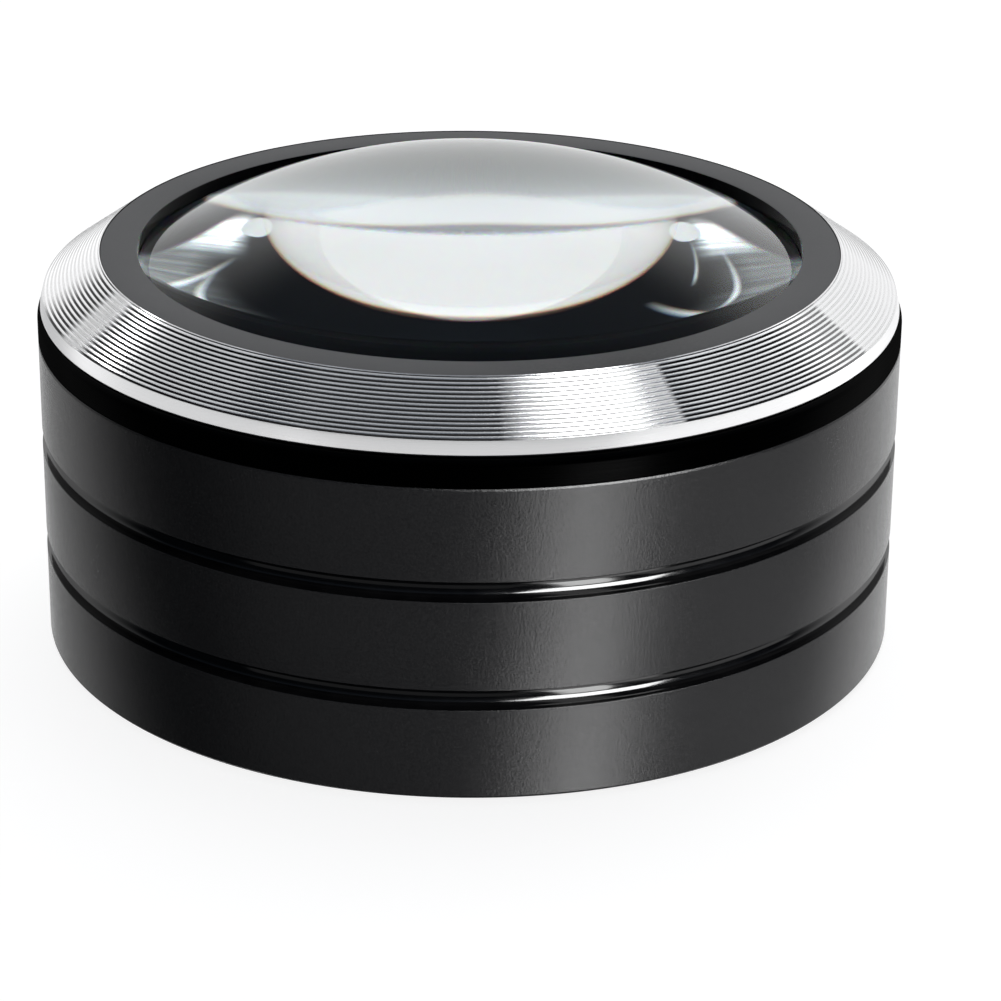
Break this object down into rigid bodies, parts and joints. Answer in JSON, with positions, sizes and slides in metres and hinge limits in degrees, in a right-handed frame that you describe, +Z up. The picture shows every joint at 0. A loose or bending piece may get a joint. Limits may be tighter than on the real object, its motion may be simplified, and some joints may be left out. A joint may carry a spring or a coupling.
{
  "type": "illuminated desk dome magnifier",
  "caption": "Round desk magnifier: black turned tube with two ring grooves, silver grooved bevel ring and thick domed lens that screws up to focus, lit from inside by small lamps.",
  "frame": {"origin": "centre of the plane the non-slip ring stands on", "axes": "+Z up along the optical axis, -Y to the front, the switch at the back left (120 degrees)"},
  "size_m": [0.09, 0.09, 0.05],
  "materials": {
    "anodised_black": "satin black anodised, fine blasted grain",
    "gloss_black_metal": "gloss black",
    "gloss_black_plastic": "gloss black moulding",
    "black_plastic": "fine moulded texture",
    "foot_rubber": "matt non-slip sheet",
    "screw_steel": "zinc plated",
    "cell_steel": "bright nickel can",
    "contact_metal": "nickel plated spring strip",
    "circuit_board": "green solder resist",
    "lamp": "white package with yellow phosphor",
    "opal_window": "opal white diffuser",
    "wire_red": "flexible sleeve",
    "wire_black": "flexible sleeve",
    "bezel_steel": "turned",
    "resistor_body": "moulded chip",
    "seal_rubber": "matt",
    "nylon": "greased nylon",
    "silver_metal": "bright turned, fine concentric grooves",
    "trim_black": "flat matt charcoal top, gloss black inner wall",
    "lens_glass": "polished optical glass"
  },
  "bodies": {
    "root": {"body_tube": "anodised_black", "collar_ring": "gloss_black_metal", "inner_liner": "gloss_black_plastic", "base_plate": "black_plastic", "foot_ring": "foot_rubber", "base_screws": "screw_steel", "battery_case": "black_plastic", "cells": "cell_steel", "contact_spring": "contact_metal", "side_contact": "contact_metal", "led_boards": "circuit_board", "leds": "lamp", "light_windows": "opal_window", "wire_red": "wire_red", "wire_black": "wire_black", "switch_board": "circuit_board", "switch_body": "black_plastic", "switch_bezel": "bezel_steel", "resistor": "resistor_body"},
    "focus_carrier": {"damping_ring": "nylon"},
    "head": {"head_barrel": "anodised_black", "bevel_ring": "silver_metal", "trim_ring": "trim_black", "lens": "lens_glass", "lens_gasket": "seal_rubber", "stop_ring": "screw_steel"},
    "button": {"switch_button": "black_plastic"},
    "cap_carrier": {"cap_seal": "seal_rubber"},
    "cap": {"battery_cap": "black_plastic"}
  },
  "joints": [
    {"name": "head_lift", "type": "slide", "parent": "root", "child": "focus_carrier", "axis": [0, 0, 1], "range_m": [0, 0.004]},
    {"name": "head_turn", "type": "hinge", "parent": "focus_carrier", "child": "head", "pos_m": [0, 0, 0.03], "axis": [0, 0, 1], "range_deg": [0, 240]},
    {"name": "switch_press", "type": "slide", "parent": "root", "child": "button", "axis": [0.5, -0.866, 0], "range_m": [0, 0.0009], "stiffness_N_per_m": 15, "springref_m": -0.001},
    {"name": "cap_drop", "type": "slide", "parent": "root", "child": "cap_carrier", "axis": [0, 0, -1], "range_m": [0, 0.0024]},
    {"name": "cap_turn", "type": "hinge", "parent": "cap_carrier", "child": "cap", "pos_m": [0, -0.0338, 0.002], "axis": [0, 0, -1], "range_deg": [0, 720]}
  ],
  "couplings": [
    {"joint": "head_lift", "follows": "head_turn", "m_per_rad": 0.00095493},
    {"joint": "cap_turn", "follows": "cap_drop", "rad_per_m": 5236}
  ]
}
